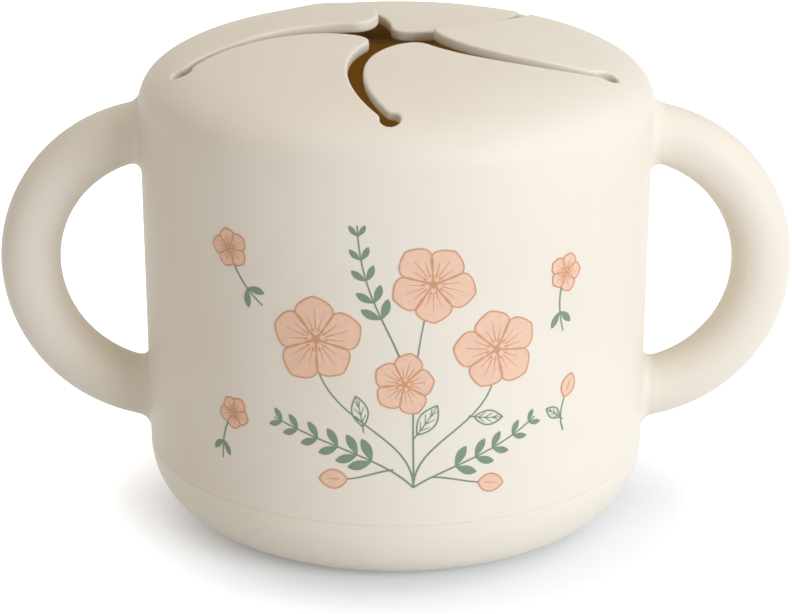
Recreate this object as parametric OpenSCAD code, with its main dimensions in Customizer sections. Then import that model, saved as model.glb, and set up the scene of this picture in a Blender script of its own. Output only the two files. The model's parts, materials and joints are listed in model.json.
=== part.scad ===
// Toddler snack container: a rigid cup inside a soft one-piece cover with two loop handles.
// The crown of the cover is cut by five bowed slits into five flaps that bend where a hand goes in.
// Origin: centre of the base, on the surface it stands on. +Z up, +X towards the right handle.

/* [Body] */
// Diameter over the wall, taken at the base
body_d = 90; // [80:0.5:110]
// Height from the base to the centre of the crown
body_h = 88.3; // [80:0.1:110]
// Draft of the wall: the body widens by this angle towards the crown
wall_draft = 0.54; // [0:0.01:1]

/* [Cover] */
// Thickness of the soft wall at its lower edge
cover_wall = 2.2; // [1.6:0.1:2.8]
// Thickness of the crown and of its flaps
crown_wall = 2; // [1.6:0.1:2.6]
// Height of the rounded shoulder, from the top of the wall to the crown
shoulder_h = 11.5; // [9:0.1:15]
// Share of the radius over which the crown stays almost level
crown_reach = 0.79; // [0.7:0.01:0.85]
// Share of the shoulder's height over which the wall stays almost upright
shoulder_fullness = 0.56; // [0.4:0.01:0.7]
// Height of the seam between the cover and the foot of the cup
seam_h = 13.4; // [12:0.1:16]
// Rounding of the cover's lower edge
cover_lip_r = 0.6; // [0.3:0.1:1]

/* [Flaps] */
// Distance from the top of the wall in to the ring on which the round slit ends lie
slit_inset = 6.8; // [6:0.1:8.5]
// Diameter of the round end of each slit
slit_end_d = 3.5; // [2.5:0.1:4]
// Width of a slit beside its round end
slit_w_out = 1.5; // [1:0.1:2]
// Width of a slit where it runs into the mouth
slit_w_in = 3.4; // [2.5:0.1:4]
// How far the outer half of a slit bows to one side
slit_bow_out = 6.6; // [5:0.1:8]
// How far the inner half of a slit bows to the same side
slit_bow_in = 8.8; // [7:0.1:10]
// Distance from the axis at which a slit opens into the mouth
mouth_reach = 9.5; // [8.5:0.1:10.5]
// Length of the curve that rounds a flap's tip
tip_round = 3.9; // [2.5:0.1:4.5]
// Turn of the whole flap pattern, seen from above
pattern_turn = -1.5; // [-36:0.5:36]
// Rest angle of the front left flap, up from the crown
lift_front_left = -0.6; // [-3:0.1:8]
// Rest angle of the front right flap
lift_front_right = 0; // [-3:0.1:8]
// Rest angle of the right flap
lift_right = 2.7; // [-3:0.1:8]
// Rest angle of the back flap
lift_back = -1.9; // [-3:0.1:8]
// Rest angle of the left flap
lift_left = 5.2; // [-3:0.1:8]

/* [Handles] */
// Part of the wall that the ring of the handle leaves free above and below, from the grip's centre
handle_margin = 6.9; // [6:0.1:12]
// Thickness of the grip
grip_d = 10.8; // [8:0.1:13]
// Depth of the ring's centre inside the wall
handle_inset = 4; // [2:0.1:8]
// Height of the ring's centre above the middle of the wall
handle_lift = 0.8; // [-2:0.1:2]
// Fillet where the grip runs into the wall
root_fillet = 2.5; // [1.5:0.1:3]
// Angle at which the fillet leaves the wall and reaches the grip
flare_angle = 25; // [20:1:35]

/* [Cup] */
// Thickness of the cup's wall at its rim
cup_wall = 1.6; // [1.2:0.1:2.4]
// Thickness of the cup's floor
floor_t = 2.4; // [1.6:0.1:4]
// Depth of the hollow under the cup
foot_hollow = 0.8; // [0.4:0.1:1.4]
// Width of the ring that the cup stands on
foot_ring_w = 6; // [3:0.1:10]
// Inner rounding between the cup's floor and its wall
inner_round = 9; // [5:0.5:10]
// Distance of the cup's rim below the shoulder of the cover
rim_drop = 0.6; // [0.4:0.1:3]

/* [Fits] */
// Clearance between the cup and the cover
fit_gap = 0.3; // [0.2:0.05:0.6]
// Running clearance round a flap's root
hinge_gap = 0.3; // [0.2:0.05:0.5]
// Cover left standing between a round slit end and the flap's root
root_land = 1.4; // [1:0.1:2]
// How much the root's round bar is larger than the skin needs
root_spare = 0.15; // [0.1:0.05:0.3]

/* [Hidden] */
$fn = 96;

silicone = "#ece4d6";
rigid_cream = "#e8dfcf";

// Flaps counted from the front left one, the way a clock's hand doesn't go
flap_count = 5;
flap_step = 360 / flap_count;

// Body profile
base_r = body_d / 2;
wall_top_z = body_h - shoulder_h;
steps_crown = 18;
steps_round = 10;
steps_lip = 4;
// How far a cut runs past the solid that it cuts
over = 1;

// Share of the slit's ring radius at which each bow is measured
bow_out_at = 0.82;
bow_in_at = 0.45;
// Direction in which a slit leaves for the mouth, from the line to its round end
mouth_angle = 20.3;
steps_slit = 14;

slit_ring_r = wall_r(wall_top_z) - slit_inset;

// Flap roots: straight lines between neighbouring slit ends
hinge_r = slit_ring_r * cos(flap_step / 2);
root_end = slit_ring_r * sin(flap_step / 2);
root_half = root_end - slit_end_d / 2 - root_land;
crown_z_mid = crown_z(hinge_r);
crown_z_end = crown_z(slit_ring_r);
hinge_z = (crown_z_mid + crown_z_end - crown_wall) / 2;
knuckle_r = (crown_z_mid - crown_z_end + crown_wall) / 2 + root_spare;
pocket_r = knuckle_r + hinge_gap;

// The handle spans the cover's upright wall
handle_h = (seam_h + wall_top_z) / 2 + handle_lift;
handle_ring_r = (wall_top_z - seam_h) / 2 - handle_margin;
grip_r = grip_d / 2;
// Length by which the flare's straight ends run into the wall and into the grip
flare_run = 1.5 * root_fillet;

// The cover is straight inside, so that it pulls off the straight wall of the cup
cover_in_r = wall_r(seam_h) - cover_wall;
shoulder_wall = wall_r(wall_top_z) - cover_in_r;
ledge_z = seam_h - fit_gap;
cup_floor_z = foot_hollow + floor_t;
cup_out_r = cover_in_r - fit_gap;
rim_z = wall_top_z - rim_drop;

function wall_r(z) = base_r + z * tan(wall_draft);
function bez(a, b, c, d, t) =
    pow(1 - t, 3) * a + 3 * pow(1 - t, 2) * t * b + 3 * (1 - t) * t * t * c + t * t * t * d;
function turned(p, a) = [p[0] * cos(a) - p[1] * sin(a), p[0] * sin(a) + p[1] * cos(a)];
function unit(v) = v / norm(v);

// Crown curve from the axis (t = 0) to the top of the wall (t = 1), thinned by the two walls
function crown_point(t, side, top) = bez(
    [0, body_h - top],
    [crown_reach * (wall_r(wall_top_z) - side), body_h - top],
    [wall_r(wall_top_z) - side, wall_top_z + shoulder_fullness * (shoulder_h - top)],
    [wall_r(wall_top_z) - side, wall_top_z], t);
function crown_curve(side, top) = [for (i = [0:steps_crown]) crown_point(i / steps_crown, side, top)];
// Height of the outer crown at a radius, by halving the interval
function crown_t_at(r, lo, hi, n) =
    n == 0 ? (lo + hi) / 2
    : crown_point((lo + hi) / 2, 0, 0)[0] < r ? crown_t_at(r, (lo + hi) / 2, hi, n - 1)
    : crown_t_at(r, lo, (lo + hi) / 2, n - 1);
function crown_z(r) = crown_point(crown_t_at(r, 0, 1, 22), 0, 0)[1];

// Middle line of the slit whose round end lies on -Y, and its two edges
slit_a = [0, -slit_ring_r];
slit_b = [-slit_bow_out, -bow_out_at * slit_ring_r];
slit_c = [-slit_bow_in, -bow_in_at * slit_ring_r];
slit_d = mouth_reach * [-sin(mouth_angle), -cos(mouth_angle)];
function slit_mid(t) = bez(slit_a, slit_b, slit_c, slit_d, t);
function slit_dir(t) = unit(
    pow(1 - t, 2) * (slit_b - slit_a) + 2 * t * (1 - t) * (slit_c - slit_b) + t * t * (slit_d - slit_c));
function slit_w(t) = slit_w_out + (slit_w_in - slit_w_out) * t;
// side is 1 for the edge on the flap that bulges, -1 for the edge it nests in
function slit_edge(t, side) =
    slit_mid(t) + side * slit_w(t) / 2 * [slit_dir(t)[1], -slit_dir(t)[0]];
function slit_side(side) = [for (i = [0:steps_slit]) slit_edge(i / steps_slit, side)];

// Outline of the flap between the slit on -Y and the next one
lobe_end = slit_edge(1, 1);
hollow_end = turned(slit_edge(1, -1), flap_step);
lobe_dir = slit_dir(1);
hollow_dir = turned(slit_dir(1), flap_step);
tip_curve = [for (i = [1:steps_round - 1]) bez(
    lobe_end, lobe_end + tip_round * lobe_dir,
    hollow_end + tip_round * hollow_dir, hollow_end, i / steps_round)];
hollow_side = [for (i = [steps_slit:-1:0]) turned(slit_edge(i / steps_slit, -1), flap_step)];
// Two corners outside the root line close the outline
root_corner = [0, -slit_ring_r - 2 * slit_end_d];
petal = concat(slit_side(1), tip_curve, hollow_side, [turned(root_corner, flap_step), root_corner]);

// Places a shape made along a flap's root: X along the root, Y inwards, Z up from the hinge line
module at_root() {
    rotate([0, 0, flap_step / 2])
        translate([0, -hinge_r, hinge_z])
            children();
}

// Round bar of the flap's root, between two places along it
module root_bar(r, from, to) {
    at_root()
        translate([from, 0, 0])
            rotate([0, 90, 0])
                cylinder(r = r, h = to - from);
}

module crown_skin() {
    rotate_extrude()
        polygon(concat(
            crown_curve(0, 0),
            [for (i = [steps_crown:-1:0]) crown_point(i / steps_crown, shoulder_wall, crown_wall)]));
}

// Column over a flap's plan
module petal_column() {
    linear_extrude(height = body_h + over)
        polygon(petal);
}

// Half space inside a flap's hinge line
module inside_root() {
    rotate([0, 0, flap_step / 2])
        translate([-body_d, -hinge_r, over])
            cube([2 * body_d, body_d, body_h + over]);
}

// One flap lying in the crown, between the slit on -Y and the next one
module flat_flap() {
    intersection() {
        crown_skin();
        union() {
            difference() {
                intersection() {
                    petal_column();
                    inside_root();
                }
                root_bar(pocket_r, root_half, root_end + over);
                root_bar(pocket_r, -root_end - over, -root_half);
            }
            intersection() {
                petal_column();
                root_bar(knuckle_r, -root_half, root_half);
            }
        }
    }
}

// A flap in its place, raised about its hinge line
module flap(index, lift) {
    color(silicone)
        rotate([0, 0, pattern_turn + (index - 1) * flap_step])
            rotate([0, 0, flap_step / 2])
                translate([0, -hinge_r, hinge_z])
                    rotate([lift, 0, 0])
                        translate([0, hinge_r, -hinge_z])
                            rotate([0, 0, -flap_step / 2])
                                flat_flap();
}

module flap_front_left() { flap(0, lift_front_left); }
module flap_front_right() { flap(1, lift_front_right); }
module flap_right() { flap(2, lift_right); }
module flap_back() { flap(3, lift_back); }
module flap_left() { flap(4, lift_left); }

// Room that one flap and the slit beside it leave in the crown
module flap_room() {
    difference() {
        rotate([0, 0, flap_step / 2])
            translate([0, 0, wall_top_z])
                linear_extrude(height = shoulder_h + over)
                    polygon([[-root_end, -hinge_r], [root_end, -hinge_r], [0, over]]);
        intersection() {
            union() {
                root_bar(knuckle_r, root_half + hinge_gap, root_end);
                root_bar(knuckle_r, -root_end, -root_half - hinge_gap);
            }
            petal_column();
        }
    }
    root_bar(pocket_r, -root_half - hinge_gap, root_half + hinge_gap);
    translate([0, -slit_ring_r, wall_top_z])
        cylinder(d = slit_end_d, h = shoulder_h + over);
}

module cover() {
    color(silicone)
        difference() {
            rotate_extrude()
                polygon(concat(
                    crown_curve(0, 0),
                    [for (a = [0:90 / steps_lip:90])
                        [wall_r(seam_h + cover_lip_r) - cover_lip_r * (1 - cos(a)),
                         seam_h + cover_lip_r * (1 - sin(a))]],
                    [[cover_in_r, seam_h]],
                    [for (i = [steps_crown:-1:0]) crown_point(i / steps_crown, shoulder_wall, crown_wall)]));
            for (i = [0:flap_count - 1])
                rotate([0, 0, pattern_turn + i * flap_step])
                    flap_room();
        }
}

// Point of the concave fillet between wall and grip: a is 0 on the wall and 90 on the grip
function fillet_point(a) =
    [grip_r + root_fillet * (1 - sin(a)), root_fillet * (1 - cos(a))];

// Flare round a grip that stands on a wall, which is the plane z = 0. The fillet runs on straight at
// both ends, so that it crosses the curved wall and the bent grip at a clear angle.
module root_flare() {
    foot = fillet_point(flare_angle);
    neck = fillet_point(90 - flare_angle);
    rotate_extrude()
        polygon(concat(
            [[0, foot[1] - flare_run * sin(flare_angle)]],
            [foot + flare_run * [cos(flare_angle), -sin(flare_angle)]],
            [for (i = [0:steps_round])
                fillet_point(flare_angle + (90 - 2 * flare_angle) * i / steps_round)],
            [neck + flare_run * [-sin(flare_angle), cos(flare_angle)]],
            [[0, neck[1] + flare_run * cos(flare_angle)]]));
}

// Loop handle on the +X side: a round grip bent in a ring, flared where it meets the wall
module handle() {
    centre_x = wall_r(handle_h) - handle_inset;
    // The flare is centred on the grip where its fillet ends, and stands square to the wall
    rise = sqrt(pow(handle_ring_r, 2) - pow(handle_inset - root_fillet, 2));
    difference() {
        union() {
            translate([centre_x, 0, handle_h])
                rotate([90, 0, 0])
                    rotate_extrude()
                        translate([handle_ring_r, 0])
                            circle(r = grip_r);
            for (side = [-1, 1])
                translate([centre_x + handle_inset, 0, handle_h + side * rise])
                    rotate([0, 90, 0])
                        root_flare();
        }
        rotate_extrude()
            polygon([[0, 0], [wall_r(0), 0], [wall_r(body_h), body_h], [0, body_h]]);
    }
}

module handle_right() {
    color(silicone)
        handle();
}

module handle_left() {
    color(silicone)
        rotate([0, 0, 180])
            handle();
}

// Rigid cup: rounded foot of the body's full width, a ledge for the cover and a plain wall above it
module inner_cup() {
    foot_r = wall_r(ledge_z);
    in_r = cup_out_r - cup_wall - (rim_z - cup_floor_z) * tan(wall_draft);
    stand_r = foot_r - ledge_z;
    color(rigid_cream)
        rotate_extrude()
            polygon(concat(
                [[0, foot_hollow], [stand_r - foot_ring_w, foot_hollow], [stand_r - foot_ring_w, 0]],
                [for (a = [0:90 / steps_round:90])
                    [stand_r + ledge_z * sin(a), ledge_z * (1 - cos(a))]],
                [[cup_out_r, ledge_z]],
                [for (a = [0:180 / steps_round:180])
                    [cup_out_r - cup_wall / 2 * (1 - cos(a)),
                     rim_z - cup_wall / 2 * (1 - sin(a))]],
                [for (a = [0:90 / steps_round:90])
                    [in_r - inner_round * (1 - cos(a)), cup_floor_z + inner_round * (1 - sin(a))]],
                [[0, cup_floor_z]]));
}

inner_cup();
cover();
handle_left();
handle_right();
flap_front_left();
flap_front_right();
flap_right();
flap_back();
flap_left();
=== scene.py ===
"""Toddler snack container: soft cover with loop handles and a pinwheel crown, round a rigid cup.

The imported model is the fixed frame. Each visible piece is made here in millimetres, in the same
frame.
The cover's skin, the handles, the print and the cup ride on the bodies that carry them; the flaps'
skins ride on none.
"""

from __future__ import annotations

import json
import logging
import math
from dataclasses import dataclass, field
from enum import Enum
from typing import Callable, Sequence

import bpy
import numpy as np
from mathutils import Matrix, Vector

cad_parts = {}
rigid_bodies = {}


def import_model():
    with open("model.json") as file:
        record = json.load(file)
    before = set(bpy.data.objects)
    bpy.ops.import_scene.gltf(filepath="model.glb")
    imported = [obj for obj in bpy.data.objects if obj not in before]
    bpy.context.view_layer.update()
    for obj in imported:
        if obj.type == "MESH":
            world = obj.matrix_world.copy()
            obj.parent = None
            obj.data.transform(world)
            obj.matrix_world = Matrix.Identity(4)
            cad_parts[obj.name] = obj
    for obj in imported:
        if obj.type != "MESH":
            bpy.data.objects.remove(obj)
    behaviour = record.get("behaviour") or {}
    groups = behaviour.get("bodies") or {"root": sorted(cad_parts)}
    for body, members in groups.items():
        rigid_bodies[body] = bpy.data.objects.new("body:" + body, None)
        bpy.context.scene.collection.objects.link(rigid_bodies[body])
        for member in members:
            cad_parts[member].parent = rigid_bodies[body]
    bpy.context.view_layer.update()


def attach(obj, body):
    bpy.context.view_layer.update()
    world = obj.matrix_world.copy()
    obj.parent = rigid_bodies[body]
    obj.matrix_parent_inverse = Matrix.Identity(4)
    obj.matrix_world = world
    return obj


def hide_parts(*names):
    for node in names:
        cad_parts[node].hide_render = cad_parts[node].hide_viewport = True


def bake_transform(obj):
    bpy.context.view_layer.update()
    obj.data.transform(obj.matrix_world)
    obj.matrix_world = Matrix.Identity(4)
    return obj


LOG = logging.getLogger("snack_container")
MM = 0.001
WELD = 0.002 * MM
Colour = tuple[float, float, float, float]
Spot = tuple[float, float]
Points = np.ndarray
Obj = bpy.types.Object
Socket = bpy.types.NodeSocket


class Body(Enum):
    """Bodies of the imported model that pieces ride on."""

    CUP = "cup"
    COVER = "cover"


class Flap(Enum):
    """Crown flaps, counted from the front left one, the way a clock's hand doesn't go."""

    FRONT_LEFT = 0
    FRONT_RIGHT = 1
    RIGHT = 2
    BACK = 3
    LEFT = 4

    @property
    def node(self) -> str:
        """Name of the flap's CAD node, which is also its body's name."""
        return f"flap_{self.name.lower()}"


class Slot(Enum):
    """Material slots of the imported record."""

    SILICONE = "cover_silicone"
    PLASTIC = "cup_plastic"


def srgb(red: int, green: int, blue: int) -> Colour:
    """Turns an sRGB colour of 0 to 255 into the linear colour that Blender's sockets take.

    Args:
        red: Red share.
        green: Green share.
        blue: Blue share.

    Returns:
        The linear colour with full alpha.
    """
    shares = (red / 255, green / 255, blue / 255)
    linear = [c / 12.92 if c <= 0.04045 else ((c + 0.055) / 1.055) ** 2.4 for c in shares]
    return (linear[0], linear[1], linear[2], 1.0)


# ---- Work on meshes, as by hand ----


def pick_only(*objects: Obj) -> None:
    """Selects these objects alone and makes the first one active.

    Args:
        objects: Objects to select.
    """
    bpy.ops.object.select_all(action="DESELECT")
    for each in objects:
        each.select_set(True)
    bpy.context.view_layer.objects.active = objects[0]


def in_edit_mode(obj: Obj, work: Callable[[], None]) -> None:
    """Runs edit operators on all of one object's mesh.

    Args:
        obj: Object to edit.
        work: Function that calls the operators.
    """
    pick_only(obj)
    bpy.ops.object.mode_set(mode="EDIT")
    bpy.ops.mesh.select_all(action="SELECT")
    work()
    bpy.ops.object.mode_set(mode="OBJECT")


def make_closed(obj: Obj, weld: float = 0.0, fill: bool = True) -> None:
    """Merges doubled points, closes open ends and turns a shell's faces outwards.

    Args:
        obj: Object to close.
        weld: Points closer than this become one, in metres. None do at 0.
        fill: Whether open ends get faces.
    """

    def work() -> None:
        """Operators that close the shell."""
        if weld:
            bpy.ops.mesh.remove_doubles(threshold=weld)
        if fill:
            bpy.ops.mesh.select_all(action="DESELECT")
            bpy.ops.mesh.select_non_manifold(extend=False, use_boundary=True)
            bpy.ops.mesh.fill_holes(sides=0)
            bpy.ops.mesh.select_all(action="SELECT")
        bpy.ops.mesh.normals_make_consistent(inside=False)

    in_edit_mode(obj, work)


def set_points(obj: Obj, points_mm: Points) -> None:
    """Moves an object's vertices to these places.

    Args:
        obj: Object whose vertices move.
        points_mm: One row of x, y, z for each vertex, in millimetres.
    """
    obj.data.vertices.foreach_set("co", (points_mm * MM).astype(np.float32).ravel())
    obj.data.update()


def get_points(obj: Obj) -> Points:
    """Places of an object's vertices.

    Args:
        obj: Object to read.

    Returns:
        One row of x, y, z for each vertex, in millimetres.
    """
    flat = np.zeros(len(obj.data.vertices) * 3, np.float32)
    obj.data.vertices.foreach_get("co", flat)
    return flat.reshape(-1, 3).astype(float) / MM


def grid_piece(name: str, table: Points) -> Obj:
    """Adds a grid primitive and lays it on a table of points.

    Args:
        name: Name of the new object.
        table: Points of shape (rows, columns, 3), in millimetres.

    Returns:
        The new object, at the origin.
    """
    rows, columns = table.shape[:2]
    bpy.ops.object.select_all(action="DESELECT")
    bpy.ops.mesh.primitive_grid_add(x_subdivisions=columns - 1, y_subdivisions=rows - 1, size=2)
    obj = bpy.context.active_object
    obj.name = name
    flat = get_points(obj) * MM
    column = np.rint((flat[:, 0] + 1) / 2 * (columns - 1)).astype(int)
    row = np.rint((flat[:, 1] + 1) / 2 * (rows - 1)).astype(int)
    set_points(obj, table[row, column])
    return obj


def apply_modifier(obj: Obj, kind: str, **settings: object) -> None:
    """Adds one modifier, sets it and applies it.

    Args:
        obj: Object to modify.
        kind: Modifier type.
        settings: Values of the modifier's own settings.
    """
    modifier = obj.modifiers.new(kind.lower(), kind)
    for key, value in settings.items():
        setattr(modifier, key, value)
    pick_only(obj)
    bpy.ops.object.modifier_apply(modifier=modifier.name)


def smooth(obj: Obj, degrees: float = 40.0) -> None:
    """Shades smooth, with edges sharper than an angle kept.

    Args:
        obj: Object to shade.
        degrees: Edges that turn more than this stay sharp.
    """
    pick_only(obj)
    bpy.ops.object.shade_smooth_by_angle(angle=math.radians(degrees))


def wear(obj: Obj, material: bpy.types.Material) -> None:
    """Gives an object one material all over.

    Args:
        obj: Object to dress.
        material: Material that it takes.
    """
    obj.data.materials.clear()
    obj.data.materials.append(material)
    obj.data.polygons.foreach_set("material_index", np.zeros(len(obj.data.polygons), np.int32))


def turned(points: Points, degrees: float) -> Points:
    """Plan points turned about the axis.

    Args:
        points: Rows of x, y.
        degrees: Turn, the way a clock's hand doesn't go.

    Returns:
        The turned rows.
    """
    a = math.radians(degrees)
    turn = np.array([[math.cos(a), math.sin(a)], [-math.sin(a), math.cos(a)]])
    return points @ turn


def bezier(a: Points, b: Points, c: Points, d: Points, t: Points) -> Points:
    """Points of a cubic curve.

    Args:
        a: Start.
        b: First handle.
        c: Second handle.
        d: End.
        t: Shares of the way, from 0 to 1.

    Returns:
        One row for each share.
    """
    t = np.asarray(t, float)[:, None]
    return (1 - t) ** 3 * a + 3 * (1 - t) ** 2 * t * b + 3 * (1 - t) * t**2 * c + t**3 * d


def resampled(line: Points, spots: Points) -> Points:
    """Points along an open line at given lengths.

    Args:
        line: Rows of the line.
        spots: Distances from its start.

    Returns:
        One row for each distance.
    """
    steps = np.linalg.norm(np.diff(line, axis=0), axis=1)
    run = np.concatenate([[0], np.cumsum(steps)])
    return np.stack([np.interp(spots, run, line[:, k]) for k in range(line.shape[1])], axis=1)


def line_length(line: Points) -> float:
    """Length of an open line."""
    return float(np.linalg.norm(np.diff(line, axis=0), axis=1).sum())


# ---- Finishes ----


class NodeTree:
    """A material under construction, with short calls for its nodes."""

    def __init__(self, name: str) -> None:
        """Starts an empty material with an output and a Principled shader.

        Args:
            name: Name of the material.
        """
        self.material = bpy.data.materials.new(name)
        self.material.use_nodes = True
        self.tree = self.material.node_tree
        self.tree.nodes.clear()
        self.output = self.tree.nodes.new("ShaderNodeOutputMaterial")
        self.shader = self.tree.nodes.new("ShaderNodeBsdfPrincipled")
        self.link(self.shader.outputs["BSDF"], self.output.inputs["Surface"])
        self.place = self.tree.nodes.new("ShaderNodeTexCoord").outputs["Object"]

    def link(self, start: Socket, end: Socket) -> None:
        """Joins two sockets."""
        self.tree.links.new(start, end)

    def feed(self, source: Socket, name: str) -> None:
        """Joins a socket to one of the shader's own."""
        self.link(source, self.shader.inputs[name])

    def set(self, **values: object) -> None:
        """Sets plain values on the shader's sockets, with underscores for spaces."""
        for key, value in values.items():
            self.shader.inputs[key.replace("_", " ")].default_value = value

    def noise(self, scale: float, detail: float = 3.0, rough: float = 0.5) -> Socket:
        """Noise on Object coordinates.

        Args:
            scale: Waves in a metre.
            detail: Number of finer layers.
            rough: Share of the finer layers.

        Returns:
            The socket of its value.
        """
        node = self.tree.nodes.new("ShaderNodeTexNoise")
        node.inputs["Scale"].default_value = scale
        node.inputs["Detail"].default_value = detail
        node.inputs["Roughness"].default_value = rough
        self.link(self.place, node.inputs["Vector"])
        return node.outputs["Fac"]

    def ramp(self, source: Socket, span: Spot, low: Colour, high: Colour) -> Socket:
        """Colour ramp over a value.

        Args:
            source: Socket of the value.
            span: Values at which the ramp begins and ends.
            low: Colour up to its beginning.
            high: Colour past its end.

        Returns:
            The socket of the colour.
        """
        node = self.tree.nodes.new("ShaderNodeValToRGB")
        for element, spot, colour in zip(node.color_ramp.elements, span, (low, high)):
            element.position = spot
            element.color = colour
        self.link(source, node.inputs["Fac"])
        return node.outputs["Color"]

    def spread(self, source: Socket, low: float, high: float) -> Socket:
        """Maps a value of 0 to 1 to another range.

        Args:
            source: Socket of the value.
            low: Result at 0.
            high: Result at 1.

        Returns:
            The socket of the result.
        """
        node = self.tree.nodes.new("ShaderNodeMapRange")
        node.inputs["To Min"].default_value = low
        node.inputs["To Max"].default_value = high
        self.link(source, node.inputs["Value"])
        return node.outputs["Result"]

    def bump(self, source: Socket, depth: float, below: Socket | None = None) -> Socket:
        """Bump from a height.

        Args:
            source: Socket of the height.
            depth: Depth of the bump, in metres.
            below: Normal that this bump adds to.

        Returns:
            The socket of the normal.
        """
        node = self.tree.nodes.new("ShaderNodeBump")
        node.inputs["Distance"].default_value = depth
        self.link(source, node.inputs["Height"])
        if below is not None:
            self.link(below, node.inputs["Normal"])
        return node.outputs["Normal"]


@dataclass(frozen=True)
class MouldedFinish:
    """Matt moulded rubber or plastic: faint cloudiness, uneven sheen and the mould's fine grain.

    Painted glow is an emission, a painted light that stands in for the daylight a pale wall lets
    into the closed space behind it: the surface glows though it is no lamp.
    """

    name: str
    pale: Colour
    deep: Colour
    rough_low: float
    rough_high: float
    grain_depth: float
    specular: float
    through: Colour = (0.0, 0.0, 0.0, 1.0)
    cloud_scale: float = 28.0
    cloud_span: Spot = (0.3, 0.7)
    patch_scale: float = 86.8
    wave_scale: float = 196.0
    grain_scale: float = 2600.0
    waves_per_grain: float = 3.0

    def material(self) -> bpy.types.Material:
        """Builds the material.

        Returns:
            The new material.
        """
        made = NodeTree(self.name)
        cloud = made.noise(self.cloud_scale, detail=4.0, rough=0.55)
        made.feed(made.ramp(cloud, self.cloud_span, self.deep, self.pale), "Base Color")
        patch = made.noise(self.patch_scale)
        made.feed(made.spread(patch, self.rough_low, self.rough_high), "Roughness")
        wave = made.noise(self.wave_scale, detail=2.0)
        waves = made.bump(wave, self.grain_depth * self.waves_per_grain)
        grain = made.noise(self.grain_scale, rough=0.6)
        made.feed(made.bump(grain, self.grain_depth, waves), "Normal")
        made.set(Specular_IOR_Level=self.specular)
        # Painted glow: a faint emission, light that the surface gives off though it is no lamp.
        if any(self.through[:3]):
            made.set(Emission_Color=self.through, Emission_Strength=1.0)
        return made.material


@dataclass(frozen=True)
class InkFinish:
    """Matt printing ink with a faint unevenness."""

    name: str
    colour: Colour
    deeper: float = 0.93
    rough_low: float = 0.5
    rough_high: float = 0.62
    specular: float = 0.4
    speck_scale: float = 900.0
    speck_span: Spot = (0.35, 0.65)

    def material(self) -> bpy.types.Material:
        """Builds the material.

        Returns:
            The new material.
        """
        made = NodeTree(self.name)
        deep = tuple(share * self.deeper for share in self.colour[:3]) + (1.0,)
        speck = made.noise(self.speck_scale, rough=0.6)
        made.feed(made.ramp(speck, self.speck_span, deep, self.colour), "Base Color")
        made.feed(made.spread(speck, self.rough_low, self.rough_high), "Roughness")
        made.set(Specular_IOR_Level=self.specular)
        return made.material


@dataclass(frozen=True)
class FloorFinish:
    """Pale floor with painted light: to the camera it emits more the farther it lies from a point
    beside the object, so the shadow shows only close by and the floor fades to white around it.
    """

    name: str = "studio_floor"
    colour: Colour = (0.85, 0.88, 0.925, 1.0)
    near_lift: float = 0.17
    far_lift: float = 1.0
    near_r: float = 0.034
    far_r: float = 0.086
    middle: tuple[float, float, float] = (0.008, -0.007, 0.0)

    def _lift(self, tree: bpy.types.NodeTree) -> Socket:
        """Painted light: whiteness that grows with the distance from a point just right of and in
        front of the object's middle.

        Args:
            tree: Tree that the nodes go into.

        Returns:
            The socket of the whiteness.
        """
        place = tree.nodes.new("ShaderNodeTexCoord").outputs["Object"]
        distance = tree.nodes.new("ShaderNodeVectorMath")
        distance.operation = "DISTANCE"
        distance.inputs[1].default_value = self.middle
        tree.links.new(place, distance.inputs[0])
        fade = tree.nodes.new("ShaderNodeMapRange")
        fade.interpolation_type = "SMOOTHSTEP"
        for key, value in (
            ("From Min", self.near_r),
            ("From Max", self.far_r),
            ("To Min", self.near_lift),
            ("To Max", self.far_lift),
        ):
            fade.inputs[key].default_value = value
        tree.links.new(distance.outputs["Value"], fade.inputs["Value"])
        return fade.outputs["Result"]

    def material(self) -> bpy.types.Material:
        """Builds the material: a plain diffuse floor with the painted light added for the camera
        and for reflections.

        Returns:
            The new material.
        """
        material = bpy.data.materials.new(self.name)
        material.use_nodes = True
        tree = material.node_tree
        tree.nodes.clear()
        output = tree.nodes.new("ShaderNodeOutputMaterial")
        diffuse = tree.nodes.new("ShaderNodeBsdfDiffuse")
        diffuse.inputs["Color"].default_value = self.colour
        # Painted light: emission whose strength grows away from the object, seen by camera, glossy
        # and transmission rays.
        white = tree.nodes.new("ShaderNodeEmission")
        tree.links.new(self._lift(tree), white.inputs["Strength"])
        both = tree.nodes.new("ShaderNodeAddShader")
        tree.links.new(diffuse.outputs[0], both.inputs[0])
        tree.links.new(white.outputs[0], both.inputs[1])
        mix_by_ray(tree, diffuse.outputs[0], both.outputs[0], output.inputs["Surface"])
        return material


def mix_by_ray(tree: bpy.types.NodeTree, lit: Socket, seen: Socket, surface: Socket) -> None:
    """Shows one shader to camera, glossy and transmission rays, and another to the rest.

    Args:
        tree: Tree that the nodes go into.
        lit: Shader that the other rays meet.
        seen: Shader that those three kinds of ray meet.
        surface: Socket that takes the mix.
    """
    path = tree.nodes.new("ShaderNodeLightPath")
    total = path.outputs["Is Camera Ray"]
    for name in ("Is Glossy Ray", "Is Transmission Ray"):
        larger = tree.nodes.new("ShaderNodeMath")
        larger.operation = "MAXIMUM"
        tree.links.new(total, larger.inputs[0])
        tree.links.new(path.outputs[name], larger.inputs[1])
        total = larger.outputs[0]
    mix = tree.nodes.new("ShaderNodeMixShader")
    for source, entry in zip((total, lit, seen), mix.inputs):
        tree.links.new(source, entry)
    tree.links.new(mix.outputs[0], surface)


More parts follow.
